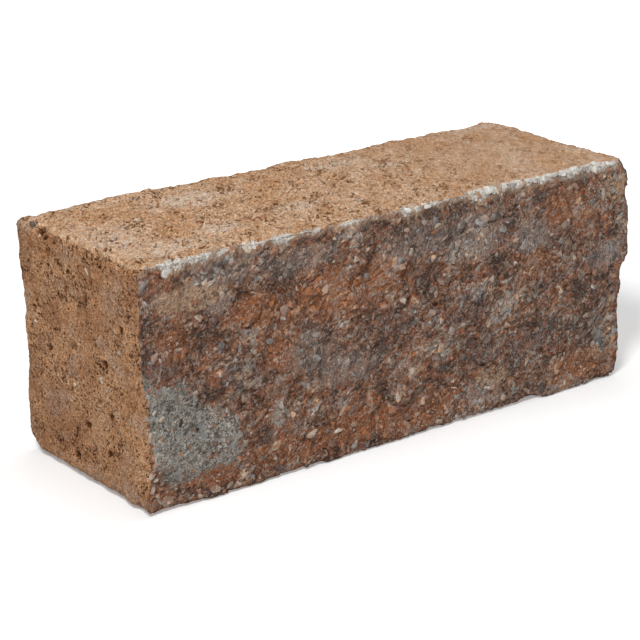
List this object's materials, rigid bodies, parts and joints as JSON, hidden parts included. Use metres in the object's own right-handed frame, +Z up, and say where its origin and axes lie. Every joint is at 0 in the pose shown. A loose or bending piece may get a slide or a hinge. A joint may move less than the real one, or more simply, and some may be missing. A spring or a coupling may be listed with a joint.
{
  "type": "wall stone",
  "caption": "Rectangular tumbled walling block with one long rough split face and flat beds, stacked or mortared in courses to build a garden wall.",
  "frame": {"origin": "centre of the bed, at the bottom of the stone", "axes": "+X along the course, +Y from the split face to the back, +Z up"},
  "size_m": [0.3, 0.107, 0.118],
  "materials": {
    "stone": "matt sand-brown cast skin with a red-brown and grey broken face"
  },
  "bodies": {
    "root": {"wall_stone": "stone"}
  },
  "joints": []
}
